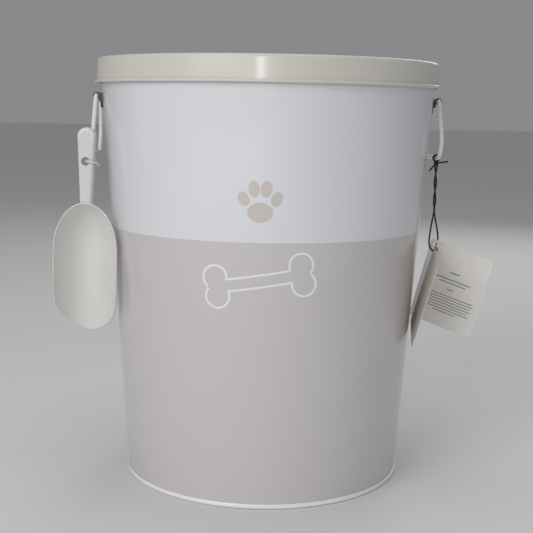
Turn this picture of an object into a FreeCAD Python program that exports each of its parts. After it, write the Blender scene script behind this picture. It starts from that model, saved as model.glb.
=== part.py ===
import FreeCAD, Part
import math
import os

# Tapered steel pet food bin with a press-on lid, two side bails, a hanging scoop and swing tags.
#
# Millimetres, +Z up. The origin is the centre of the base on the surface that the bin stands on.
# -Y is the front, and the bails hang at -X (left) and +X (right).

V = FreeCAD.Vector
Rotation = FreeCAD.Rotation
UP = V(0, 0, 1)

# Body wall, a cone
WALL_R_BASE = 134.2
WALL_TAPER = 0.06832
WALL_T = 0.8
WALL_FOOT_Z = 0.6
WALL_TOP_Z = 397.3
SEAM_DEG = 2.4
SEAM_T = 0.7
SEAM_Z = (4.6, 394.5)

# Rolled top rim with a wire inside
CURL_CENTRE = (161.0, 397.3)
CURL_R = 1.6
CURL_HOLE_R = 0.8
RIM_WIRE_R = 0.78

# Base pan and hem
PAN_T = 0.8
PAN_Z = 5.0
PAN_RISE = 1.5
PAN_RISE_R = 98.0
PAN_STEP = 4.0
HEM_R = 136.2
HEM_INNER_R = 131.6
HEM_H = 4.2
HEM_BEVEL = 0.9

# Lid
LID_TOP_Z = 400.0
LID_T = 0.6
LID_PANEL_DROP = 1.4
LID_PANEL_R = 144.0
LID_STEP = 4.0
LID_R_TOP = 163.6
LID_EDGE_R = 2.8
BEAD_CENTRE = (164.9, 378.0)
BEAD_R = 1.5

# Ear clips and their rivets
PIVOT_X = 163.6
PIVOT_Z = 365.0
BAIL_R = 2.0
BORE_R = 2.05
BARREL_R = 3.35
CLIP_LENGTH = 40.0
LEAF_T = 1.2
LEAF_Z = (353.5, 362.0)
WEB_X = (154.0, 161.2)
WEB_Z = (359.0, 365.0)
RIVET_Z = 356.4
RIVET_DEG = 4.0
RIVET_R = 1.4
RIVET_HEAD_R = 2.4
RIVET_HEAD_H = 1.2

# Bails: half outline as (distance from the middle, drop below the pivot), and corner radii
BAIL_DROP = 54.0
BAIL_HALF = [(3.0, 0.0), (24.0, 0.0), (43.0, 37.0), (33.0, BAIL_DROP)]
BAIL_CORNER_R = [4.5, 12.0, 10.0]
LEFT_BAIL_LEAN_DEG = 2.5

# Scoop: its own frame has the hanging hole at the origin, its front face at y = 0
SCOOP_HOLE = V(-170.6, -56.0, 304.5)
SCOOP_YAW_DEG = -8.0
SCOOP_LEAN_DEG = 1.0
SCOOP_T = 1.0
BOWL_R = 31.0
BOWL_AXIS_Y = -4.0
BOWL_TOP_Z = -37.5
BOWL_DOME_H = 46.0
BOWL_LIP_Z = -163.5
BOWL_LIP_RISE = 34.0
BOWL_LIP_CORNER_R = 40.0
HANDLE_TOP_Z = 31.0
HANDLE_SHOULDER_Z = 22.0
HANDLE_HALF_TOP = 8.2
HANDLE_HALF_FOOT = 5.0
HANDLE_FOOT_Z = -43.0
HANDLE_DEPTH = 9.0
HANDLE_ROUND = 2.4
HANG_HOLE_R = 4.0

# Tie that hangs the scoop from the left bail
TIE_R = 1.1
TIE_Y = -24.0
TIE_REACH = 3.6
TIE_CORNER_R = 2.6
TIE_KNOT_R = 2.2
TIE_KNOT_AXIS = V(0.3, 0.4, 0.8)
TIE_END_GAP = 1.2

# Tag cord: its two strands twist about a vertical line below the right bail
CORD_R = 0.8
CORD_Y = -22.0
CORD_TOP_Z = 303.0
STRAND_OFFSET = 1.15
TWIST_STEP = 8.5
TWIST_COUNT = 6
KNOT_RING_R = 3.1
KNOT_R = 2.3
KNOT_NECK_R = 2.0

# Swing tags: hole centre, direction across the card, direction down the card
CARD_W = 65.0
CARD_H = 85.0
CARD_T = 0.5
CARD_HOLE_INSET = 5.5
CARD_HOLE_R = 2.5
CARD_ROUND = 2.5
FRONT_CARD = (V(165.6, -25.6, 226.1), V(0.851, -0.444, -0.28), V(-0.176, 0.262, -0.949))
BACK_CARD = (V(162.6, -32.2, 221.5), V(-0.172, -0.96, -0.221), V(-0.197, 0.254, -0.947))


def wall_r(z):
    """Outer radius of the body wall at a height."""
    return WALL_R_BASE + WALL_TAPER * z


def face_rz(points):
    """Flat face in the XZ plane from (radius, height) corners."""
    corners = [V(r, 0, z) for r, z in points]
    return Part.Face(Part.makePolygon(corners + [corners[0]]))


def disc_rz(centre, radius):
    """Flat disc in the XZ plane."""
    edge = Part.makeCircle(radius, V(centre[0], 0, centre[1]), V(0, 1, 0))
    return Part.Face(Part.Wire(edge))


def revolve(face, degrees=360.0):
    """Solid made by turning a face about the Z axis."""
    return face.revolve(V(0, 0, 0), UP, degrees)


def slit_ring(centre, outer, inner, from_deg, to_deg):
    """Section of a rolled curl: a ring with a narrow wedge left open."""
    reach = 2 * outer
    wedge = [centre]
    for deg in (from_deg, to_deg):
        angle = math.radians(deg)
        wedge.append((centre[0] + reach * math.cos(angle), centre[1] + reach * math.sin(angle)))
    return disc_rz(centre, outer).cut(disc_rz(centre, inner)).cut(face_rz(wedge))


def cone_solid(grow, z_low, z_high):
    """Solid cone that follows the body wall, grown outwards by a distance."""
    return Part.makeCone(wall_r(z_low) + grow, wall_r(z_high) + grow, z_high - z_low, V(0, 0, z_low))


def rounded_path(points, radii):
    """Straight runs joined by tangent arcs. radii holds one radius for each inner point."""
    edges = []
    run_start = points[0]
    for index, radius in enumerate(radii, 1):
        here = points[index]
        back = (points[index - 1] - here).normalize()
        ahead = (points[index + 1] - here).normalize()
        half_turn = (math.pi - back.getAngle(ahead)) / 2
        tangent = radius * math.tan(half_turn)
        arc_start = here + back * tangent
        arc_end = here + ahead * tangent
        middle = here + (back + ahead).normalize() * (radius / math.cos(half_turn) - radius)
        edges.append(Part.LineSegment(run_start, arc_start).toShape())
        edges.append(Part.Arc(arc_start, middle, arc_end).toShape())
        run_start = arc_end
    edges.append(Part.LineSegment(run_start, points[-1]).toShape())
    return Part.Wire(edges)


def even_radii(points):
    """The largest corner radii that the runs on each side allow."""
    radii = []
    for index in range(1, len(points) - 1):
        back = points[index - 1] - points[index]
        ahead = points[index + 1] - points[index]
        half_turn = (math.pi - back.getAngle(ahead)) / 2
        radii.append(0.45 * min(back.Length, ahead.Length) / math.tan(half_turn))
    return radii


def rod(path, radius):
    """Round rod that follows a path."""
    first = path.OrderedEdges[0]
    start = first.valueAt(first.FirstParameter)
    direction = first.tangentAt(first.FirstParameter)
    section = Part.Wire(Part.makeCircle(radius, start, direction))
    solid = path.makePipeShell([section], True, False)
    return solid if solid.Volume > 0 else solid.reversed()


def bar(start, end, radius):
    """Round bar between two points."""
    along = end - start
    return Part.makeCylinder(radius, along.Length, start, along)


def body_shell():
    wall = face_rz([
        (wall_r(WALL_FOOT_Z), WALL_FOOT_Z),
        (wall_r(WALL_TOP_Z), WALL_TOP_Z),
        (wall_r(WALL_TOP_Z) - WALL_T, WALL_TOP_Z),
        (wall_r(WALL_FOOT_Z) - WALL_T, WALL_FOOT_Z),
    ])
    curl = slit_ring(CURL_CENTRE, CURL_R, CURL_HOLE_R, 20, 35)
    hole = disc_rz(CURL_CENTRE, CURL_HOLE_R)
    shell = revolve(wall.cut(hole).fuse(curl).removeSplitter())
    low, high = SEAM_Z
    seam = revolve(face_rz([
        (wall_r(low) - WALL_T / 2, low),
        (wall_r(low) + SEAM_T, low),
        (wall_r(high) + SEAM_T, high),
        (wall_r(high) - WALL_T / 2, high),
    ]), SEAM_DEG)
    seam.rotate(V(0, 0, 0), UP, 90 - SEAM_DEG / 2)
    shell = shell.fuse(seam).removeSplitter()
    for hole_cut in rivet_shanks():
        shell = shell.cut(hole_cut)
    return shell


def rim_wire():
    return Part.makeTorus(CURL_CENTRE[0], RIM_WIRE_R, V(0, 0, CURL_CENTRE[1]), UP)


def base_pan():
    flange_foot_r = wall_r(WALL_FOOT_Z) - WALL_T
    top_z = PAN_Z + PAN_T
    return revolve(face_rz([
        (0, PAN_Z + PAN_RISE),
        (PAN_RISE_R, PAN_Z + PAN_RISE),
        (PAN_RISE_R + PAN_STEP, PAN_Z),
        (wall_r(PAN_Z) - WALL_T - PAN_T, PAN_Z),
        (flange_foot_r - PAN_T, WALL_FOOT_Z),
        (flange_foot_r, WALL_FOOT_Z),
        (wall_r(top_z) - WALL_T, top_z),
        (PAN_RISE_R + PAN_STEP, top_z),
        (PAN_RISE_R, top_z + PAN_RISE),
        (0, top_z + PAN_RISE),
    ]))


def base_hem():
    """Folded ring that the bin stands on, with its outer corners bevelled."""
    return revolve(face_rz([
        (HEM_INNER_R, 0),
        (HEM_R - HEM_BEVEL, 0),
        (HEM_R, HEM_BEVEL),
        (HEM_R, HEM_H - HEM_BEVEL),
        (HEM_R - HEM_BEVEL, HEM_H),
        (wall_r(HEM_H), HEM_H),
        (wall_r(WALL_FOOT_Z), WALL_FOOT_Z),
        (HEM_INNER_R, WALL_FOOT_Z),
    ]))


def lid():
    panel_z = LID_TOP_Z - LID_PANEL_DROP
    shoulder_r = LID_R_TOP - LID_EDGE_R
    edge_z = LID_TOP_Z - LID_EDGE_R
    skirt_r = BEAD_CENTRE[0] - BEAD_R + LID_T
    slope = math.sqrt(0.5)
    edges = []

    def line(start, end):
        edges.append(Part.LineSegment(V(start[0], 0, start[1]), V(end[0], 0, end[1])).toShape())

    def corner(radius, start, end):
        middle = V(shoulder_r + radius * slope, 0, edge_z + radius * slope)
        edges.append(Part.Arc(V(start[0], 0, start[1]), middle, V(end[0], 0, end[1])).toShape())

    line((0, panel_z), (LID_PANEL_R, panel_z))
    line((LID_PANEL_R, panel_z), (LID_PANEL_R + LID_STEP, LID_TOP_Z))
    line((LID_PANEL_R + LID_STEP, LID_TOP_Z), (shoulder_r, LID_TOP_Z))
    corner(LID_EDGE_R, (shoulder_r, LID_TOP_Z), (LID_R_TOP, edge_z))
    line((LID_R_TOP, edge_z), (skirt_r, BEAD_CENTRE[1]))
    line((skirt_r, BEAD_CENTRE[1]), (skirt_r - LID_T, BEAD_CENTRE[1]))
    line((skirt_r - LID_T, BEAD_CENTRE[1]), (LID_R_TOP - LID_T, edge_z))
    corner(LID_EDGE_R - LID_T, (LID_R_TOP - LID_T, edge_z), (shoulder_r, LID_TOP_Z - LID_T))
    line((shoulder_r, LID_TOP_Z - LID_T), (LID_PANEL_R + LID_STEP, LID_TOP_Z - LID_T))
    line((LID_PANEL_R + LID_STEP, LID_TOP_Z - LID_T), (LID_PANEL_R, panel_z - LID_T))
    line((LID_PANEL_R, panel_z - LID_T), (0, panel_z - LID_T))
    line((0, panel_z - LID_T), (0, panel_z))
    sheet = Part.Face(Part.Wire(edges))
    bead = slit_ring(BEAD_CENTRE, BEAD_R, BEAD_R - LID_T, 100, 160)
    return revolve(sheet).fuse(revolve(bead)).removeSplitter()


def rivet_shanks():
    """Cylinders through the wall and both leaves, one for each rivet."""
    shanks = []
    for side in (0, 180):
        for turn in (-RIVET_DEG, RIVET_DEG):
            shank = bar(V(150, 0, RIVET_Z), V(165, 0, RIVET_Z), RIVET_R)
            shank.rotate(V(0, 0, 0), UP, side + turn)
            shanks.append(shank)
    return shanks


def ear_rivets(side):
    """Two round-headed rivets, closed over on the inside of the wall."""
    low, high = LEAF_Z[0] - 10, LEAF_Z[1] + 10
    outside = cone_solid(LEAF_T, low, high)
    inside = cone_solid(-WALL_T, low, high)
    leaf_x = wall_r(RIVET_Z) + LEAF_T
    rivets = []
    for turn in (-RIVET_DEG, RIVET_DEG):
        shank = bar(V(wall_r(RIVET_Z) - WALL_T - 0.4, 0, RIVET_Z), V(leaf_x + 0.4, 0, RIVET_Z), RIVET_R)
        head = bar(V(leaf_x - 1, 0, RIVET_Z), V(leaf_x + RIVET_HEAD_H, 0, RIVET_Z), RIVET_HEAD_R).cut(outside)
        tail_x = wall_r(RIVET_Z) - WALL_T - RIVET_HEAD_H / 2
        tail = bar(V(tail_x, 0, RIVET_Z), V(tail_x + 2, 0, RIVET_Z), RIVET_HEAD_R).common(inside)
        rivet = shank.fuse([head, tail]).removeSplitter()
        rivet.rotate(V(0, 0, 0), UP, side + turn)
        rivets.append(rivet)
    return Part.makeCompound(rivets)


def ear_clip(side):
    """Sheet clip: a leaf that follows the wall, rolled at the top into a barrel for the bail."""
    half = CLIP_LENGTH / 2
    ends = (V(PIVOT_X, -half, PIVOT_Z), V(PIVOT_X, half, PIVOT_Z))
    leaf_box = Part.makeBox(40, CLIP_LENGTH, LEAF_Z[1] - LEAF_Z[0], V(140, -half, LEAF_Z[0]))
    leaf = cone_solid(LEAF_T, 340, 380).common(leaf_box)
    web = Part.makeBox(WEB_X[1] - WEB_X[0], CLIP_LENGTH, WEB_Z[1] - WEB_Z[0], V(WEB_X[0], -half, WEB_Z[0]))
    clip = bar(ends[0], ends[1], BARREL_R).fuse([leaf, web])
    clip = clip.cut(cone_solid(0, 340, 380)).cut(bar(ends[0], ends[1], BORE_R)).removeSplitter()
    clip.rotate(V(0, 0, 0), UP, side)
    for shank in rivet_shanks():
        clip = clip.cut(shank)
    return clip


def bail(side, lean_deg):
    """Wire handle: its two ends turn inwards into the barrel of the clip."""
    half = [V(0, -y, -drop) for y, drop in BAIL_HALF]
    other = [V(0, y, -drop) for y, drop in reversed(BAIL_HALF)]
    path = rounded_path(half + other, BAIL_CORNER_R + BAIL_CORNER_R[::-1])
    shape = rod(path, BAIL_R)
    shape.rotate(V(0, 0, 0), V(0, 1, 0), -side * lean_deg)
    shape.translate(V(side * PIVOT_X, 0, PIVOT_Z))
    return shape


def bail_middle(side, lean_deg):
    """Centre of the wire at the lowest point of a bail."""
    lean = math.radians(lean_deg)
    return V(side * (PIVOT_X + BAIL_DROP * math.sin(lean)), 0, PIVOT_Z - BAIL_DROP * math.cos(lean))


SCOOP_TURN = Rotation(V(0, 1, 0), SCOOP_LEAN_DEG).multiply(Rotation(UP, SCOOP_YAW_DEG))
SCOOP_PLACE = FreeCAD.Placement(SCOOP_HOLE, SCOOP_TURN)


def scoop_profile(radius, dome_h):
    """Half section of the bowl: a quarter ellipse over a straight side."""
    centre_z = BOWL_TOP_Z - BOWL_DOME_H
    foot_z = BOWL_LIP_Z - 20
    ellipse = Part.Ellipse(V(0, 0, centre_z + dome_h), V(radius, 0, centre_z), V(0, 0, centre_z))
    dome = Part.ArcOfEllipse(ellipse, 0, math.pi / 2).toShape()
    corners = [V(radius, 0, centre_z), V(radius, 0, foot_z), V(0, 0, foot_z), V(0, 0, centre_z + dome_h)]
    face = Part.Face(Part.Wire([dome] + list(Part.makePolygon(corners).Edges)))
    solid = revolve(face)
    solid.translate(V(0, BOWL_AXIS_Y, 0))
    return solid


def scoop_bowl():
    bowl = scoop_profile(BOWL_R, BOWL_DOME_H).cut(scoop_profile(BOWL_R - SCOOP_T, BOWL_DOME_H - SCOOP_T))
    slope = BOWL_LIP_RISE / (BOWL_R + BOWL_AXIS_Y)
    side_z = BOWL_LIP_Z + BOWL_LIP_RISE
    reach = 60.0
    top = V(-100, 0, 0)
    end = V(-100, reach, side_z - reach * slope)
    rim = rounded_path([top, V(-100, 0, side_z), end], [BOWL_LIP_CORNER_R])
    rest = Part.makePolygon([end, V(-100, reach, -300), V(-100, -100, -300), V(-100, -100, 0), top])
    open_side = Part.Face(Part.Wire(rim.Edges + rest.Edges)).extrude(V(200, 0, 0))
    bowl = bowl.cut(open_side)
    bowl.Placement = SCOOP_PLACE
    return bowl


def handle_outline(inset):
    """Front outline of the scoop handle, drawn smaller by an inset."""
    top = V(0, 0, HANDLE_TOP_Z - inset)
    shoulder = HANDLE_HALF_TOP - inset
    foot = HANDLE_HALF_FOOT - inset
    left = V(-shoulder, 0, HANDLE_SHOULDER_Z)
    right = V(shoulder, 0, HANDLE_SHOULDER_Z)
    arc = Part.Arc(left, top, right).toShape()
    rest = Part.makePolygon([right, V(foot, 0, HANDLE_FOOT_Z), V(-foot, 0, HANDLE_FOOT_Z), left])
    return Part.Face(Part.Wire([arc] + list(rest.Edges)))


def scoop_handle():
    block = handle_outline(0).extrude(V(0, HANDLE_DEPTH, 0))
    front = [
        e for e in block.Edges
        if e.BoundBox.YMax < 0.01 and e.BoundBox.ZMax > HANDLE_FOOT_Z + 1
    ]
    block = block.makeFillet(HANDLE_ROUND, front)
    pocket = handle_outline(SCOOP_T).extrude(V(0, HANDLE_DEPTH, 0))
    pocket.translate(V(0, SCOOP_T, 0))
    hole = bar(V(0, -5, 0), V(0, 5, 0), HANG_HOLE_R)
    handle = block.cut(pocket).cut(hole).cut(scoop_profile(BOWL_R, BOWL_DOME_H))
    handle.Placement = SCOOP_PLACE
    return handle


def scoop_tie():
    """Knotted cord: over the bail, round the edge of the handle and through its hole."""
    middle = bail_middle(-1, LEFT_BAIL_LEAN_DEG) + V(0, TIE_Y, 0)

    def scoop_point(x, y, z):
        return SCOOP_PLACE.multVec(V(x, y, z))

    knot = middle + V(-1.0, -2.0, -9.5)
    points = [
        knot,
        scoop_point(-1.5, 12.8, -5.0),
        scoop_point(11.0, 11.5, -4.0),
        scoop_point(11.0, -3.6, -0.5),
        scoop_point(0.5, -4.0, 0.5),
        scoop_point(-0.5, 14.0, 0.5),
        middle + V(-TIE_REACH, 0, -TIE_REACH - 1.5),
        middle + V(-TIE_REACH, 0, TIE_REACH),
        middle + V(TIE_REACH, 0, TIE_REACH),
        middle + V(TIE_REACH, 0, -TIE_REACH - 1.8),
        knot,
    ]
    points[0] = knot + (points[1] - knot).normalize() * TIE_END_GAP
    points[-1] = knot + (points[-2] - knot).normalize() * TIE_END_GAP
    path = rounded_path(points, [TIE_CORNER_R] * (len(points) - 2))
    print("scoop tie radii", TIE_CORNER_R, "length", round(path.Length, 1))
    return rod(path, TIE_R).fuse(Part.makeSphere(TIE_KNOT_R, knot, TIE_KNOT_AXIS)).removeSplitter()


def cord_points():
    """Route of the tag cord: down one strand, through both cards and up the other strand."""
    down = []
    up = []
    for step in range(TWIST_COUNT):
        angle = math.radians(90 * step)
        z = CORD_TOP_Z - TWIST_STEP * step
        offset = V(math.cos(angle), math.sin(angle), 0) * STRAND_OFFSET
        down.append(V(PIVOT_X, CORD_Y, z) + offset)
        up.append(V(PIVOT_X, CORD_Y, z) - offset)
    low = [
        V(165.7, -20.8, 249.5),
        V(168.3, -20.0, 239.0),
        V(169.2, -20.2, 230.8),
        V(166.9, -23.3, 226.6),
        V(165.0, -26.7, 225.9),
        V(166.3, -29.4, 223.2),
        V(165.3, -32.5, 220.9),
        V(159.9, -31.9, 222.1),
        V(157.8, -29.6, 227.6),
        V(159.3, -26.2, 238.0),
        V(161.5, -23.8, 249.5),
    ]
    return down + low + up[::-1]


def tag_cord():
    points = cord_points()
    radii = even_radii(points)
    print("tag cord radii", [round(r, 1) for r in radii])
    path = rounded_path(points, radii)
    solid = rod(path, CORD_R)
    section = math.pi * CORD_R ** 2
    print("tag cord length", round(path.Length, 1), "volume ratio", round(solid.Volume / (section * path.Length), 4))
    return solid


def cord_knot():
    """Two turns of the cord round the bail, the knot below them and its two short ends."""
    middle = bail_middle(1, 0) + V(0, CORD_Y, 0)
    pieces = []
    for shift in (-0.7, 0.7):
        pieces.append(Part.makeTorus(KNOT_RING_R, CORD_R, middle + V(0, shift, 0), V(0, 1, 0)))
    knot_centre = middle - V(0, 0, KNOT_RING_R + KNOT_R - 0.4)
    pieces.append(Part.makeSphere(KNOT_R, knot_centre))
    pieces.append(bar(knot_centre, V(PIVOT_X, CORD_Y, CORD_TOP_Z), KNOT_NECK_R))
    pieces.append(bar(knot_centre, knot_centre + V(10.5, -5.0, 2.0), CORD_R))
    pieces.append(bar(knot_centre, knot_centre + V(-7.5, -5.5, -7.0), CORD_R))
    return pieces[0].fuse(pieces[1:]).removeSplitter()


def swing_tag(card):
    """Stiff paper card with rounded corners, hung from a hole near one corner."""
    hole, across, down = card
    across = across.normalize()
    normal = across.cross(down).normalize()
    down = normal.cross(across).normalize()
    inset = CARD_HOLE_INSET
    block = Part.makeBox(CARD_W, CARD_T, CARD_H, V(-inset, -CARD_T / 2, inset - CARD_H))
    block = block.makeFillet(CARD_ROUND, [e for e in block.Edges if e.BoundBox.YLength > CARD_T / 2
                                          and e.BoundBox.XLength < 0.01 and e.BoundBox.ZLength < 0.01])
    block = block.cut(bar(V(0, -2, 0), V(0, 2, 0), CARD_HOLE_R))
    block.Placement = FreeCAD.Placement(hole, Rotation(across, normal, down.negative(), "ZXY"))
    return block


NODES = {
    "body_shell": body_shell(),
    "rim_wire": rim_wire(),
    "base_pan": base_pan(),
    "base_hem": base_hem(),
    "left_ear_clip": ear_clip(180),
    "right_ear_clip": ear_clip(0),
    "left_ear_rivets": ear_rivets(180),
    "right_ear_rivets": ear_rivets(0),
    "lid": lid(),
    "left_bail": bail(-1, LEFT_BAIL_LEAN_DEG),
    "right_bail": bail(1, 0),
    "scoop_bowl": scoop_bowl(),
    "scoop_handle": scoop_handle(),
    "scoop_tie": scoop_tie(),
    "tag_cord": tag_cord(),
    "cord_knot": cord_knot(),
    "front_swing_tag": swing_tag(FRONT_CARD),
    "back_swing_tag": swing_tag(BACK_CARD),
}

os.makedirs("parts", exist_ok=True)
for name, shape in NODES.items():
    shape.exportStep("parts/" + name + ".step")
    box = shape.BoundBox
    print(name, "valid", shape.isValid(), "solids", len(shape.Solids), "volume", round(shape.Volume, 1),
          "x", round(box.XMin, 1), round(box.XMax, 1), "y", round(box.YMin, 1), round(box.YMax, 1),
          "z", round(box.ZMin, 1), round(box.ZMax, 1))
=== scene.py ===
import math
import bpy
from mathutils import Euler, Matrix, Vector


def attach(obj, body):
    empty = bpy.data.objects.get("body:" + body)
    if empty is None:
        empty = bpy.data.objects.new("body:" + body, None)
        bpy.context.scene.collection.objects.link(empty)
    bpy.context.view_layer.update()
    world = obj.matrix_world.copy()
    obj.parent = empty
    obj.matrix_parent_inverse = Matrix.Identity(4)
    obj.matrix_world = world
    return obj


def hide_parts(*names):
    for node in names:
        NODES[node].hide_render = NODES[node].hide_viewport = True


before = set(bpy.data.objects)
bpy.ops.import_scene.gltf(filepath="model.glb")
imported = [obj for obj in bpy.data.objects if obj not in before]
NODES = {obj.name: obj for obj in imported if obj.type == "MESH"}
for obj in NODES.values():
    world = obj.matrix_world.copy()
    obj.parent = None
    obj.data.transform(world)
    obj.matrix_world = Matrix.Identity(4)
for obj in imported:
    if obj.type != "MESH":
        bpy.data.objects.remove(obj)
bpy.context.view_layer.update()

MM = 0.001

# Wall of the bin: a cone, with the same driving sizes as the solid, in millimetres
WALL_R_BASE = 134.2
WALL_TAPER = 0.06832
WALL_T = 0.8
FOOT_Z = 0.6
WALL_LOW_Z = 3.0
WALL_HIGH_Z = 393.0
CURL_FOOT_Z = 395.2
CURL_R, CURL_Z, CURL_TUBE_R = 161.0, 397.3, 1.6
LINING_TOP_Z = 396.6
LINING_HIGH_Z = 395.0
LINING_LOW_Z = 1.0

# Lap seam at the back, at 90 degrees round from +X
SEAM_T = 0.55
SEAM_HALF_DEG = 1.2
SEAM_STEP_DEG = 0.12

# Height where the white paint meets the grey one, in metres, and half the border's width
SPLIT_Z = 0.2425
SPLIT_BLUR = 0.0001

# Faces round a lathed piece, a swept tube and a ball
LATHE_TURNS = 320
TUBE_SIDES = 14
BALL_RINGS = 10
BALL_SIDES = 18


def wall_r(z):
    """Outer radius of the wall, in millimetres."""
    return WALL_R_BASE + WALL_TAPER * z


# ---------------------------------------------------------------- materials

def colour(r, g, b):
    """Linear colour from an sRGB one in 0..255."""
    linear = []
    for value in (r, g, b):
        share = value / 255
        linear.append(share / 12.92 if share <= 0.04045 else ((share + 0.055) / 1.055) ** 2.4)
    return (*linear, 1.0)


def shader_of(made):
    return made.node_tree.nodes["Principled BSDF"]


def material(name, base, rough, metallic=0.0, coat=0.0, coat_rough=0.05, sheen=0.0):
    """Principled material with its node tree ready for detail."""
    made = bpy.data.materials.new(name)
    made.use_nodes = True
    shader = shader_of(made)
    shader.inputs["Base Color"].default_value = base
    shader.inputs["Roughness"].default_value = rough
    shader.inputs["Metallic"].default_value = metallic
    shader.inputs["Coat Weight"].default_value = coat
    shader.inputs["Coat Roughness"].default_value = coat_rough
    shader.inputs["Sheen Weight"].default_value = sheen
    return made


def add(made, kind, **inputs):
    """New node in a material's tree. Inputs are set by socket name, spaces written as underscores."""
    node = made.node_tree.nodes.new(kind)
    for name, value in inputs.items():
        node.inputs[name.replace("_", " ")].default_value = value
    return node


def wire(made, source, target):
    made.node_tree.links.new(source, target)


def noise(made, scale, detail=2.0, rough=0.5, stretch=None):
    """Noise in the piece's own coordinates, in metres, with an optional stretch along the axes."""
    place = made.node_tree.nodes.new("ShaderNodeTexCoord")
    source = place.outputs["Object"]
    if stretch:
        mapping = made.node_tree.nodes.new("ShaderNodeMapping")
        mapping.inputs["Scale"].default_value = stretch
        wire(made, source, mapping.inputs["Vector"])
        source = mapping.outputs["Vector"]
    node = add(made, "ShaderNodeTexNoise", Scale=scale, Detail=detail, Roughness=rough)
    wire(made, source, node.inputs["Vector"])
    return node.outputs["Fac"]


def vary(made, source, low, high, target):
    """Drives a socket between two values with a noise, which mostly lies within 0.2 and 0.8."""
    node = add(made, "ShaderNodeMapRange", From_Min=0.2, From_Max=0.8, To_Min=low, To_Max=high)
    wire(made, source, node.inputs["Value"])
    wire(made, node.outputs["Result"], target)


def tint(made, source, first, second):
    """Base colour that drifts between two tones with a noise."""
    ramp = made.node_tree.nodes.new("ShaderNodeValToRGB")
    ramp.color_ramp.elements[0].position = 0.25
    ramp.color_ramp.elements[0].color = first
    ramp.color_ramp.elements[1].position = 0.75
    ramp.color_ramp.elements[1].color = second
    wire(made, source, ramp.inputs["Fac"])
    return ramp.outputs["Color"]


def bump(made, layers):
    """Stacked bumps: each layer is (height source, distance in metres, strength)."""
    normal = None
    for source, distance, strength in layers:
        node = add(made, "ShaderNodeBump", Strength=strength, Distance=distance)
        wire(made, source, node.inputs["Height"])
        if normal:
            wire(made, normal, node.inputs["Normal"])
        normal = node.outputs["Normal"]
    wire(made, normal, shader_of(made).inputs["Normal"])


def paint(name, first, second, rough, coat, coat_rough=0.04):
    """Gloss paint on pressed steel: faint drift of tone and gloss, long soft waves and orange peel."""
    made = material(name, first, rough, coat=coat, coat_rough=coat_rough)
    shader = shader_of(made)
    tone_drift = noise(made, 5.0, 0.0)
    gloss_drift = noise(made, 8.0, 0.0)
    waves = noise(made, 7.0, 0.0)
    orange_peel = noise(made, 260.0, 1.0)
    wire(made, tint(made, tone_drift, first, second), shader.inputs["Base Color"])
    vary(made, gloss_drift, rough - 0.01, rough + 0.015, shader.inputs["Roughness"])
    bump(made, [(waves, 0.0004, 0.08), (orange_peel, 0.00002, 0.05)])
    return made


def two_tone_paint():
    """Body paint: cool white above a sharp level line, warm grey below it."""
    made = paint("body_two_tone_paint", colour(227, 228, 232), colour(228, 229, 233), 0.31, 0.75)
    shader = shader_of(made)
    upper = shader.inputs["Base Color"].links[0].from_socket
    lower = tint(made, noise(made, 4.0, 0.0), colour(206, 202, 201), colour(207, 203, 202))
    place = made.node_tree.nodes.new("ShaderNodeTexCoord")
    split = made.node_tree.nodes.new("ShaderNodeSeparateXYZ")
    wire(made, place.outputs["Object"], split.inputs["Vector"])
    above = add(made, "ShaderNodeMapRange", From_Min=SPLIT_Z - SPLIT_BLUR, From_Max=SPLIT_Z + SPLIT_BLUR)
    wire(made, split.outputs["Z"], above.inputs["Value"])
    mix = made.node_tree.nodes.new("ShaderNodeMix")
    mix.data_type = "RGBA"
    wire(made, above.outputs["Result"], mix.inputs["Factor"])
    wire(made, lower, mix.inputs[6])
    wire(made, upper, mix.inputs[7])
    wire(made, mix.outputs[2], shader.inputs["Base Color"])
    return made


def cord_material(name, first, second, scale):
    """Twisted thread: fine diagonal fibres over a soft tone drift."""
    made = material(name, first, 0.85, sheen=0.3)
    fibre = noise(made, scale, 3.0, 0.7, (1.0, 1.0, 0.35))
    wire(made, tint(made, fibre, first, second), shader_of(made).inputs["Base Color"])
    bump(made, [(fibre, 0.0003, 0.8), (noise(made, scale * 3, 2.0), 0.0001, 0.5)])
    return made


def card_material(name, first, second, fibre_scale):
    """Uncoated card: pulp mottling and a dry tooth."""
    made = material(name, first, 0.8)
    mottle = noise(made, fibre_scale, 5.0, 0.65)
    wire(made, tint(made, mottle, first, second), shader_of(made).inputs["Base Color"])
    vary(made, noise(made, 400.0), 0.7, 0.88, shader_of(made).inputs["Roughness"])
    bump(made, [(noise(made, 1500.0, 3.0), 0.00005, 0.5), (mottle, 0.0001, 0.2)])
    return made


def metal(name, first, second, rough):
    """Bare drawn metal: fine tone drift and streaked gloss."""
    made = material(name, first, rough, metallic=1.0)
    shader = shader_of(made)
    streaks = noise(made, 700.0, 2.0, 0.5, (1, 1, 0.1))
    wire(made, tint(made, noise(made, 300.0, 3.0), first, second), shader.inputs["Base Color"])
    vary(made, streaks, rough - 0.08, rough + 0.1, shader.inputs["Roughness"])
    bump(made, [(noise(made, 1800.0, 2.0), 0.00003, 0.4)])
    return made


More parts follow.
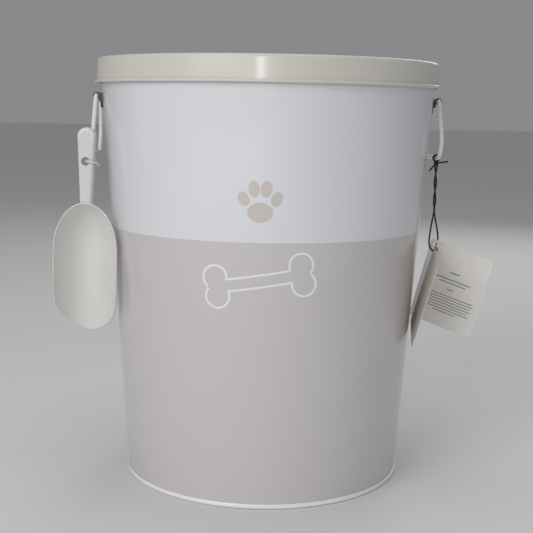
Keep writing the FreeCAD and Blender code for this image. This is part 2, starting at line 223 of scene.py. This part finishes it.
BODY_PAINT = two_tone_paint()
INSIDE_LACQUER = paint("inside_lacquer", colour(196, 193, 188), colour(203, 200, 195), 0.38, 0.3)
LID_PAINT = paint("lid_cream_paint", colour(213, 209, 201), colour(215, 211, 203), 0.36, 0.3, 0.14)
HEM_PAINT = paint("hem_paint", colour(246, 245, 243), colour(248, 247, 246), 0.22, 0.8)
BASE_PAINT = paint("base_paint", colour(190, 185, 178), colour(198, 193, 186), 0.4, 0.3)
EAR_BLACK = paint("ear_black_paint", colour(30, 30, 31), colour(44, 44, 45), 0.38, 0.3)
BAIL_WHITE = paint("bail_white_paint", colour(228, 228, 230), colour(236, 236, 237), 0.25, 0.7)
SCOOP_ENAMEL = paint("scoop_enamel", colour(222, 220, 217), colour(224, 222, 219), 0.16, 1.0)
STEEL_WIRE = metal("rim_steel_wire", colour(150, 150, 150), colour(175, 175, 175), 0.35)
RIVET_BLACK = paint("rivet_black_finish", colour(52, 52, 54), colour(70, 70, 72), 0.4, 0.2)
TIE_THREAD = cord_material("tie_white_thread", colour(226, 224, 218), colour(200, 197, 190), 2600.0)
TAG_THREAD = cord_material("tag_black_thread", colour(8, 8, 9), colour(20, 20, 21), 3200.0)
CARD_WHITE = card_material("card_off_white", colour(230, 228, 224), colour(222, 219, 214), 120.0)
CARD_KRAFT = card_material("card_kraft", colour(226, 219, 210), colour(214, 206, 196), 160.0)
BAR_GREY = card_material("rule_bar_grey", colour(120, 118, 116), colour(98, 96, 95), 900.0)
PRINT_BEIGE = paint("print_beige", colour(208, 200, 194), colour(212, 204, 198), 0.32, 0.6)
PRINT_WHITE = paint("print_white", colour(238, 239, 242), colour(243, 244, 246), 0.3, 0.6)


# ---------------------------------------------------------------- building meshes

def new_piece(name, verts, faces, body, made, face_slots=None):
    """Smooth mesh piece from points in metres, riding on a body."""
    mesh = bpy.data.meshes.new(name)
    mesh.from_pydata(verts, [], faces)
    for one in made:
        mesh.materials.append(one)
    if face_slots:
        for polygon, index in zip(mesh.polygons, face_slots):
            polygon.material_index = index
    mesh.shade_smooth()
    piece = bpy.data.objects.new(name, mesh)
    bpy.context.scene.collection.objects.link(piece)
    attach(piece, body)
    return piece


def even_normals(piece):
    """Keeps wide faces flat-shaded right up to their rounded edges."""
    weighted = piece.modifiers.new("even_normals", "WEIGHTED_NORMAL")
    weighted.weight = 100
    return piece


def arc(centre_r, centre_z, radius, from_deg, to_deg, steps):
    """Points of an arc in the (radius, height) plane."""
    points = []
    for step in range(steps + 1):
        angle = math.radians(from_deg + (to_deg - from_deg) * step / steps)
        points.append((centre_r + radius * math.cos(angle), centre_z + radius * math.sin(angle)))
    return points


def spread(first, last, count):
    """Evenly spaced numbers from the first to the last."""
    return [first + (last - first) * step / (count - 1) for step in range(count)]


def lathe(name, profile, body, made, inner=(0, -1), seam=None):
    """Turns a closed (radius, height) profile about Z.

    Rows in the inner range take the second material. Rows in the seam range stand out at the seam.
    """
    angles = [2 * math.pi * step / LATHE_TURNS for step in range(LATHE_TURNS)]
    if seam:
        edges = [90 - SEAM_HALF_DEG - SEAM_STEP_DEG, 90 - SEAM_HALF_DEG,
                 90 + SEAM_HALF_DEG, 90 + SEAM_HALF_DEG + SEAM_STEP_DEG]
        angles = sorted(angles + [math.radians(deg) for deg in edges])
    verts = []
    place = {}
    for turn, angle in enumerate(angles):
        on_seam = seam and abs(math.degrees(angle) - 90) < SEAM_HALF_DEG + 0.001
        for row, (radius, z) in enumerate(profile):
            if radius == 0 and turn:
                place[turn, row] = place[0, row]
                continue
            grown = radius + (SEAM_T if on_seam and seam[0] <= row <= seam[1] else 0.0)
            place[turn, row] = len(verts)
            verts.append((grown * math.cos(angle) * MM, grown * math.sin(angle) * MM, z * MM))
    faces = []
    slots = []
    rows = len(profile)
    for turn in range(len(angles)):
        after = (turn + 1) % len(angles)
        for row in range(rows):
            up = (row + 1) % rows
            corners = (place[turn, row], place[after, row], place[after, up], place[turn, up])
            face = tuple(dict.fromkeys(corners))
            if len(face) > 2:
                faces.append(face)
                slots.append(1 if inner[0] <= row <= inner[1] else 0)
    return even_normals(new_piece(name, verts, faces, body, made, slots))


def sweep(points, radius, closed=False):
    """Round tube along points in millimetres, as (points, faces) in metres."""
    count = len(points)
    sides = TUBE_SIDES
    tangents = []
    for index in range(count):
        before = points[index - 1] if index or closed else points[0]
        after = points[(index + 1) % count] if index < count - 1 or closed else points[-1]
        tangents.append((after - before).normalized())
    side = tangents[0].orthogonal().normalized()
    verts = []
    for index, point in enumerate(points):
        side = (side - tangents[index] * side.dot(tangents[index])).normalized()
        other = tangents[index].cross(side)
        for turn in range(sides):
            angle = 2 * math.pi * turn / sides
            verts.append((point + (side * math.cos(angle) + other * math.sin(angle)) * radius) * MM)
    faces = []
    for index in range(count if closed else count - 1):
        after = (index + 1) % count
        for turn in range(sides):
            beside = (turn + 1) % sides
            faces.append((index * sides + turn, index * sides + beside,
                          after * sides + beside, after * sides + turn))
    if not closed:
        faces.append(tuple(reversed(range(sides))))
        faces.append(tuple(range((count - 1) * sides, count * sides)))
    return verts, faces


def joined(parts):
    """One list of points and faces from several."""
    verts = []
    faces = []
    for part_verts, part_faces in parts:
        start = len(verts)
        verts.extend(part_verts)
        faces.extend(tuple(start + index for index in face) for face in part_faces)
    return verts, faces


def between_rings(first, rings, sides):
    """Faces that join each ring of points to the next one, from the index of the first ring's first point."""
    faces = []
    for ring in range(rings - 1):
        start = first + ring * sides
        for turn in range(sides):
            beside = (turn + 1) % sides
            faces.append((start + turn, start + sides + turn, start + sides + beside, start + beside))
    return faces


def ball(centre, radius):
    """Ball, as (points, faces) in metres."""
    sides = BALL_SIDES
    pole = Vector((0, 0, radius))
    verts = [(centre + pole) * MM]
    for ring in range(1, BALL_RINGS):
        polar = math.pi * ring / BALL_RINGS
        flat = radius * math.sin(polar)
        for turn in range(sides):
            angle = 2 * math.pi * turn / sides
            rim = Vector((flat * math.cos(angle), flat * math.sin(angle), radius * math.cos(polar)))
            verts.append((centre + rim) * MM)
    verts.append((centre - pole) * MM)
    faces = between_rings(1, BALL_RINGS - 1, sides)
    last = 1 + (BALL_RINGS - 2) * sides
    for turn in range(sides):
        beside = (turn + 1) % sides
        faces.append((0, 1 + turn, 1 + beside))
        faces.append((last + turn, len(verts) - 1, last + beside))
    return verts, faces


# ---------------------------------------------------------------- bin body

def build_wall():
    """Cone wall with a rolled top edge and a lapped side seam at the back."""
    outer = [(wall_r(z), z) for z in (FOOT_Z, *spread(WALL_LOW_Z, WALL_HIGH_Z, 39), CURL_FOOT_Z)]
    seam_rows = (2, len(outer) - 2)
    outer += arc(CURL_R, CURL_Z, CURL_TUBE_R, -60, 150, 16)
    heights = (LINING_TOP_Z, *spread(LINING_HIGH_Z, LINING_LOW_Z, 20), FOOT_Z)
    inner = [(wall_r(z) - WALL_T, z) for z in heights]
    lined = (len(outer) - 2, len(outer) + len(inner))
    wall = lathe("bin_wall", outer + inner, "bin", [BODY_PAINT, INSIDE_LACQUER],
                 inner=lined, seam=seam_rows)
    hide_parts("body_shell")


HEM_INNER_R = 131.6
HEM_FOLD_R = 134.9
HEM_ROUND = 1.3
HEM_LIP_ROUND = 0.4
HEM_TOP_Z = 4.2
HEM_GAP = 0.01


def build_hem():
    """Bright folded ring that the bin stands on."""
    profile = [(HEM_INNER_R, FOOT_Z), (HEM_INNER_R, HEM_LIP_ROUND)]
    profile += arc(HEM_INNER_R + HEM_LIP_ROUND, HEM_LIP_ROUND, HEM_LIP_ROUND, 180, 270, 4)
    profile += arc(HEM_FOLD_R, HEM_ROUND, HEM_ROUND, -90, 0, 8)
    profile += arc(HEM_FOLD_R, HEM_TOP_Z - HEM_ROUND, HEM_ROUND, 0, 90, 8)
    profile += [(wall_r(z) + HEM_GAP, z) for z in (HEM_TOP_Z, FOOT_Z)]
    hem = lathe("bottom_hem_ring", profile, "bin", [HEM_PAINT])
    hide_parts("base_hem")


SHOULDER_R, SHOULDER_Z = 160.8, 397.2
SHOULDER_OUTER, SHOULDER_INNER = 2.8, 2.2
BEAD_R, BEAD_Z, BEAD_TUBE_R = 164.88, 378.0, 1.48


def build_lid():
    """Pressed lid: shallow panel, soft shoulder, straight skirt and a rolled bead."""
    profile = [(0, 398.6), (40, 398.6), (90, 398.6), (140, 398.6), (143.4, 398.62)]
    profile += [(144.4, 398.8), (146.0, 399.3), (147.5, 399.84), (148.4, 399.98)]
    profile += [(149.5, 400.0), (160.0, 400.0)]
    profile += arc(SHOULDER_R, SHOULDER_Z, SHOULDER_OUTER, 90, 2, 14)
    profile += [(163.63, 395.0), (163.8, 390.0), (163.95, 382.0), (163.98, 379.6)]
    profile += arc(BEAD_R, BEAD_Z, BEAD_TUBE_R, 127, -180, 22)
    inner_from = len(profile) - 1
    profile += [(163.35, 380.0), (163.2, 388.0), (163.02, 396.0)]
    profile += arc(SHOULDER_R, SHOULDER_Z, SHOULDER_INNER, 0, 90, 8)
    profile += [(149.0, 399.4), (148.0, 399.36), (144.2, 398.06), (143.0, 398.0)]
    profile += [(90, 398.0), (0, 398.0)]
    under = (0, len(profile) - 2 - inner_from)
    lid = lathe("press_on_lid", profile[::-1], "lid", [LID_PAINT, INSIDE_LACQUER],
                inner=under)
    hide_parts("lid")


build_wall()
build_hem()
build_lid()


# ---------------------------------------------------------------- printed marks on the wall

PRINT_TURN_DEG = -5.6
PRINT_LIFT = 0.05
KNOB_STEPS = 30
BONE_SPACING = 1.5


def on_wall(across, z):
    """Point just off the wall, in metres, from a distance round its front and a height in millimetres."""
    angle = math.radians(PRINT_TURN_DEG) + across / wall_r(z)
    radius = wall_r(z) + PRINT_LIFT
    return Vector((radius * math.sin(angle), -radius * math.cos(angle), z)) * MM


def pad(across, z, half_w, half_h, tilt_deg):
    """Oval spot on the wall, as (points, faces)."""
    rings = 6
    sides = 40
    tilt = math.radians(tilt_deg)
    verts = [on_wall(across, z)]
    for ring in range(1, rings + 1):
        for turn in range(sides):
            angle = 2 * math.pi * turn / sides
            u = half_w * math.cos(angle) * ring / rings
            v = half_h * math.sin(angle) * ring / rings
            verts.append(on_wall(across + u * math.cos(tilt) - v * math.sin(tilt),
                                 z + u * math.sin(tilt) + v * math.cos(tilt)))
    faces = [(0, 1 + turn, 1 + (turn + 1) % sides) for turn in range(sides)]
    return verts, faces + between_rings(1, rings, sides)


def stroke(outline, width):
    """Closed line of even width on the wall, as (points, faces)."""
    verts = []
    count = len(outline)
    for index, (u, v) in enumerate(outline):
        before = Vector(outline[index - 1])
        after = Vector(outline[(index + 1) % count])
        along = (after - before).normalized()
        out = Vector((along.y, -along.x)) * width / 2
        verts.append(on_wall(u + out.x, v + out.y))
        verts.append(on_wall(u - out.x, v - out.y))
    faces = []
    for index in range(count):
        after = (index + 1) % count
        faces.append((2 * index, 2 * after, 2 * after + 1, 2 * index + 1))
    return verts, faces


def bone_outline(centre_z, half, knob, tilt_deg):
    """Outline of a plain bone shape: four round knobs joined by two straight sides."""
    offset = 0.8 * knob
    waist = 0.5 * knob
    inside = math.degrees(math.asin(offset / knob))
    outside = 180 + math.degrees(math.asin((offset - waist) / knob))
    points = []
    for side_x, side_y, start, end in (
        (1, 1, -inside, outside), (-1, 1, 180 - outside, 180 + inside),
        (-1, -1, 180 - inside, 180 + outside), (1, -1, 360 - outside, 360 + inside),
    ):
        for deg in spread(start, end, KNOB_STEPS + 1):
            angle = math.radians(deg)
            points.append((side_x * half + knob * math.cos(angle), side_y * offset + knob * math.sin(angle)))
    divided = []
    for index, point in enumerate(points):
        after = points[(index + 1) % len(points)]
        count = max(1, round(math.dist(point, after) / BONE_SPACING))
        divided += [tuple(a + (b - a) * part / count for a, b in zip(point, after))
                    for part in range(count)]
    tilt = math.radians(tilt_deg)
    return [(u * math.cos(tilt) - v * math.sin(tilt), centre_z + u * math.sin(tilt) + v * math.cos(tilt))
            for u, v in divided]


def build_prints():
    """Plain paw and plain bone, in place of the lettering."""
    paw = joined([
        pad(0.0, 268.5, 11.0, 8.6, 0),
        pad(-14.0, 280.0, 4.7, 6.6, 24),
        pad(-5.2, 288.5, 4.9, 7.2, 7),
        pad(5.2, 288.5, 4.9, 7.2, -7),
        pad(14.0, 280.0, 4.7, 6.6, -24),
    ])
    new_piece("paw_print", paw[0], paw[1], "bin", [PRINT_BEIGE])
    bone = stroke(bone_outline(209.0, 38.0, 10.5, 9.0), 1.9)
    new_piece("bone_print", bone[0], bone[1], "bin", [PRINT_WHITE])


build_prints()


# ---------------------------------------------------------------- scoop

SCOOP_PLACE = (Matrix.Translation(Vector((-170.6, -56.0, 304.5)))
               @ Matrix.Rotation(math.radians(1.0), 4, "Y")
               @ Matrix.Rotation(math.radians(-8.0), 4, "Z"))
BOWL_R = 31.0
BOWL_AXIS_Y = -4.0
DOME_Z = -83.5
DOME_H = 46.0
LIP_FRONT_Z = -129.5
LIP_RUN = (27.0, 34.0)
LIP_CORNER_R = 40.0
LIP_TRIM = 0.5
BOWL_T = 1.0
BOWL_COLUMNS = 64
TROUGH_ROWS = 24
DOME_ROWS = 40
DOME_CROWDING = 1.6

# Rolled edge: how deep in the sheet it runs, its radius, and its lift where the edge is open at the front
EDGE_INSET = 0.85
EDGE_R = 0.72
EDGE_LIFT = 0.7
EDGE_FRONT_Y = 0.6
EDGE_SPACING = 0.5


def lip_z(y):
    """Height of the bowl's lip at a depth: a straight slant that rounds into the upright front edges."""
    turn = math.atan2(LIP_RUN[0], LIP_RUN[1])
    depth = max(y, 0.0)
    if depth < LIP_CORNER_R * (1 - math.cos(turn)):
        start = LIP_FRONT_Z + LIP_CORNER_R * math.tan(turn / 2)
        return start - math.sqrt(LIP_CORNER_R ** 2 - (LIP_CORNER_R - depth) ** 2)
    return LIP_FRONT_Z - depth * LIP_RUN[1] / LIP_RUN[0]


def bowl_row(radius, z_at):
    """Points round the trough, from its right edge over the back to its left edge. z_at gives z from y."""
    start = math.asin(-BOWL_AXIS_Y / radius) if radius > -BOWL_AXIS_Y else math.pi / 2
    row = []
    for step in range(BOWL_COLUMNS + 1):
        angle = start + (math.pi - 2 * start) * step / BOWL_COLUMNS
        y = BOWL_AXIS_Y + radius * math.sin(angle)
        row.append(Vector((radius * math.cos(angle), y, z_at(y))))
    return row


def bowl_sheet(shrink):
    """Grid of one face of the bowl wall, from the lip up over the dome."""
    radius = BOWL_R - shrink
    rows = []
    for step in range(TROUGH_ROWS + 1):
        share = step / TROUGH_ROWS

        def z_at(y, share=share):
            lip = lip_z(y) + LIP_TRIM
            return lip + (DOME_Z - lip) * share

        rows.append(bowl_row(radius, z_at))
    dome_h = DOME_H - shrink
    last = math.acos(-BOWL_AXIS_Y / radius)
    for step in range(1, DOME_ROWS + 1):
        polar = last * (1 - (1 - step / DOME_ROWS) ** DOME_CROWDING)
        z = DOME_Z + dome_h * math.sin(polar)
        rows.append(bowl_row(radius * math.cos(polar), lambda y, z=z: z))
    return rows


def build_bowl():
    """Half-round enamelled trough with a domed top end and a rolled edge."""
    outer = bowl_sheet(0.0)
    inner = bowl_sheet(BOWL_T)
    columns = len(outer[0])
    parts = []
    for rows, flip in ((outer, True), (inner, False)):
        verts = [SCOOP_PLACE @ point * MM for row in rows for point in row]
        faces = []
        for row in range(len(rows) - 1):
            for column in range(columns - 1):
                corner = row * columns + column
                face = (corner, corner + columns, corner + columns + 1, corner + 1)
                faces.append(face[::-1] if flip else face)
        parts.append((verts, faces))
    middle = bowl_sheet(EDGE_INSET)
    edge = [row[0] for row in middle] + [row[-1] for row in reversed(middle[:-1])]
    edge += list(reversed(middle[0][1:-1]))
    kept = [edge[0]]
    for point in edge[1:]:
        if (point - kept[-1]).length > EDGE_SPACING:
            kept.append(point)
    lifted = [SCOOP_PLACE @ (point + Vector((0, EDGE_LIFT if point.y < EDGE_FRONT_Y else 0.0, 0)))
              for point in kept]
    parts.append(sweep(lifted, EDGE_R, closed=True))
    verts, faces = joined(parts)
    bowl = new_piece("scoop_bowl_enamel", verts, faces, "scoop", [SCOOP_ENAMEL])
    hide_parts("scoop_bowl")


build_bowl()


# ---------------------------------------------------------------- cords

def spline(name, points, radius, made, body):
    """Smooth cord on a NURBS spline with the route's points as its control points, in metres."""
    data = bpy.data.curves.new(name, "CURVE")
    data.dimensions = "3D"
    data.bevel_depth = radius
    data.bevel_resolution = 5
    data.resolution_u = 12
    data.use_fill_caps = True
    line = data.splines.new("NURBS")
    line.points.add(len(points) - 1)
    for point, place in zip(line.points, points):
        point.co = (*place, 1.0)
    line.order_u = 3
    line.use_endpoint_u = True
    data.materials.append(made)
    piece = bpy.data.objects.new(name, data)
    bpy.context.scene.collection.objects.link(piece)
    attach(piece, body)
    return piece


TAG_ROUTE = [
    (0.1648, -0.022, 0.303), (0.1636, -0.0208, 0.2945), (0.1624, -0.022, 0.286), (0.1636, -0.0232, 0.2775),
    (0.1648, -0.022, 0.269), (0.1636, -0.0208, 0.2605), (0.1657, -0.0208, 0.2495), (0.1683, -0.02, 0.239),
    (0.1692, -0.0202, 0.2308), (0.1669, -0.0233, 0.2266), (0.165, -0.0267, 0.2259), (0.1663, -0.0294, 0.2232),
    (0.1653, -0.0325, 0.2209), (0.1599, -0.0319, 0.2221), (0.1578, -0.0296, 0.2276), (0.1593, -0.0262, 0.238),
    (0.1615, -0.0238, 0.2495), (0.1636, -0.0232, 0.2605), (0.1624, -0.022, 0.269), (0.1636, -0.0208, 0.2775),
    (0.1648, -0.022, 0.286), (0.1636, -0.0232, 0.2945), (0.1624, -0.022, 0.303),
]
tag_line = spline("tag_cord_line", TAG_ROUTE, 0.0008, TAG_THREAD, "swing_tags")
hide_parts("tag_cord")

TIE_ROUTE = [
    (-0.16696, -0.026, 0.30155), (-0.1703, -0.0431, 0.29950), (-0.1581, -0.0461, 0.30031),
    (-0.16021, -0.0611, 0.30381), (-0.17065, -0.06003, 0.30500), (-0.16914, -0.0421, 0.30497),
    (-0.16956, -0.024, 0.30595), (-0.16956, -0.024, 0.31465), (-0.16236, -0.024, 0.31465),
    (-0.16236, -0.024, 0.30565), (-0.16696, -0.026, 0.30155),
]
tie = spline("scoop_tie_thread", TIE_ROUTE, 0.0011, TIE_THREAD, "scoop_tie")
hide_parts("scoop_tie")


KNOT_CORE_R = 1.5
KNOT_TURN_R = 1.35
KNOT_THREAD_R = 0.95
KNOT_END_R = 0.85
KNOT_STEPS = 20


def build_tie_knot():
    """Small overhand knot under the bail with two short trimmed ends."""
    centre = Vector(TIE_ROUTE[0]) / MM
    turns = [ball(centre, KNOT_CORE_R)]
    for tilt, turn in ((20, 0), (75, 60)):
        spin = Euler((math.radians(tilt), 0, math.radians(turn))).to_matrix()
        loop = [centre + spin @ Vector((KNOT_TURN_R * math.cos(a), KNOT_TURN_R * math.sin(a), 0))
                for a in (2 * math.pi * step / KNOT_STEPS for step in range(KNOT_STEPS))]
        turns.append(sweep(loop, KNOT_THREAD_R, closed=True))
    for end in (Vector((-3.6, -2.6, -1.6)), Vector((2.2, -2.4, -3.0))):
        run = [centre, centre + end * 0.5 + Vector((0, 0, 0.3)), centre + end]
        turns.append(sweep(run, KNOT_END_R))
    verts, faces = joined(turns)
    return new_piece("scoop_tie_knot", verts, faces, "scoop_tie", [TIE_THREAD])


tie_knot = build_tie_knot()


# ---------------------------------------------------------------- carried-over solids

SHARP_DEG = 35.0


def dress(node, made):
    """Gives a solid its material and smooth shading, sharp at its real edges."""
    mesh = NODES[node].data
    mesh.materials.clear()
    mesh.materials.append(made)
    mesh.shade_smooth()
    mesh.set_sharp_from_angle(angle=math.radians(SHARP_DEG))


for node, made in (
    ("rim_wire", STEEL_WIRE), ("base_pan", BASE_PAINT),
    ("left_ear_clip", EAR_BLACK), ("right_ear_clip", EAR_BLACK),
    ("left_ear_rivets", RIVET_BLACK), ("right_ear_rivets", RIVET_BLACK),
    ("left_bail", BAIL_WHITE), ("right_bail", BAIL_WHITE),
    ("scoop_handle", SCOOP_ENAMEL), ("cord_knot", TAG_THREAD),
    ("front_swing_tag", CARD_WHITE), ("back_swing_tag", CARD_KRAFT),
):
    dress(node, made)


# ---------------------------------------------------------------- plain bars on the front card

CARD_HOLE = Vector((165.6, -25.6, 226.1))
CARD_ACROSS = Vector((0.8511, -0.4441, -0.2800))
CARD_DOWN = Vector((-0.1757, 0.2618, -0.9490))
CARD_FACE = -CARD_ACROSS.cross(CARD_DOWN).normalized()
CARD_INSET = 5.5
CARD_HALF_WIDTH = 32.5
BAR_LIFT = 0.29


def card_point(across, down):
    """Point just off the front card's outer face, from its hole corner, in metres."""
    flat = CARD_HOLE + CARD_ACROSS * (across - CARD_INSET) + CARD_DOWN * (down - CARD_INSET)
    return (flat + CARD_FACE * BAR_LIFT) * MM


def build_bars():
    """Plain ruled bars, where such a card carries its small print."""
    rows = [(26.0, 10.0, 1.1), (33.5, 36.0, 0.9), (37.0, 27.0, 0.9), (44.0, 7.0, 0.9)]
    widths = (50, 52, 48, 51, 45, 49, 24)
    rows += [(51.0 + 2.9 * index, width, 0.8) for index, width in enumerate(widths)]
    verts = []
    faces = []
    for down, width, height in rows:
        start = len(verts)
        left = CARD_HALF_WIDTH - width / 2
        right = left + width
        for across, lower in ((left, 0), (right, 0), (right, height), (left, height)):
            verts.append(card_point(across, down + lower))
        faces.append((start + 3, start + 2, start + 1, start))
    new_piece("front_tag_bars", verts, faces, "swing_tags", [BAR_GREY])


build_bars()


# ---------------------------------------------------------------- stage, lights and camera

def build_stage():
    """Plain pale floor, just below the bin's foot."""
    bpy.ops.mesh.primitive_plane_add(size=40.0, location=(0, 0, -0.0004))
    floor = bpy.context.object
    floor.name = "studio_floor"
    made = material("floor_matte", colour(232, 232, 231), 0.75)
    vary(made, noise(made, 30.0, 2.0), 0.7, 0.82, shader_of(made).inputs["Roughness"])
    floor.data.materials.append(made)


def area(name, place, aim, size, size_y, power, tone):
    """Rectangular soft light at a place, aimed at a point."""
    lamp = bpy.data.lights.new(name, "AREA")
    lamp.shape = "RECTANGLE"
    lamp.size = size
    lamp.size_y = size_y
    lamp.energy = power
    lamp.color = tone
    holder = bpy.data.objects.new(name, lamp)
    bpy.context.scene.collection.objects.link(holder)
    holder.location = place
    holder.rotation_euler = (Vector(aim) - Vector(place)).to_track_quat("-Z", "Y").to_euler()


def build_light():
    """Soft key from the front left, a narrow strip for the wall's highlight, and two weak fills."""
    world = bpy.data.worlds.new("pale_studio")
    bpy.context.scene.world = world
    world.use_nodes = True
    backdrop = world.node_tree.nodes["Background"]
    backdrop.inputs["Color"].default_value = (0.80, 0.81, 0.83, 1.0)
    backdrop.inputs["Strength"].default_value = 0.31
    area("key_softbox", (-1.25, -1.7, 1.15), (0, 0, 0.2), 1.3, 1.3, 17.0, (1.0, 0.99, 0.98))
    area("front_strip", (-0.33, -2.3, 0.66), (0, 0, 0.25), 0.16, 0.5, 7.0, (0.97, 0.98, 1.0))
    area("overhead", (0.0, 0.0, 2.1), (0, 0, 0.3), 1.4, 1.4, 8.0, (1.0, 1.0, 1.0))
    area("back_rim", (0.8, 1.8, 1.2), (0, 0, 0.25), 1.0, 1.0, 6.0, (1.0, 1.0, 1.0))


CAMERA_PLACE = (-0.06789, -1.02055, 0.35485)
CAMERA_LOOKS = (0.06725, 0.98641, -0.14993)
CAMERA_ROLL = 0.0184


def build_camera():
    """Slightly raised front view, with a small roll."""
    lens = bpy.data.cameras.new("front_camera")
    lens.sensor_width = 36.0
    lens.lens = 70.03
    lens.clip_start = 0.05
    lens.clip_end = 50.0
    camera = bpy.data.objects.new("front_camera", lens)
    bpy.context.scene.collection.objects.link(camera)
    camera.location = CAMERA_PLACE
    looking = Vector(CAMERA_LOOKS).to_track_quat("-Z", "Y")
    camera.rotation_mode = "QUATERNION"
    camera.rotation_quaternion = looking @ Euler((0, 0, CAMERA_ROLL)).to_quaternion()
    bpy.context.scene.camera = camera


build_stage()
build_light()
build_camera()
bpy.context.scene.view_settings.view_transform = "Standard"
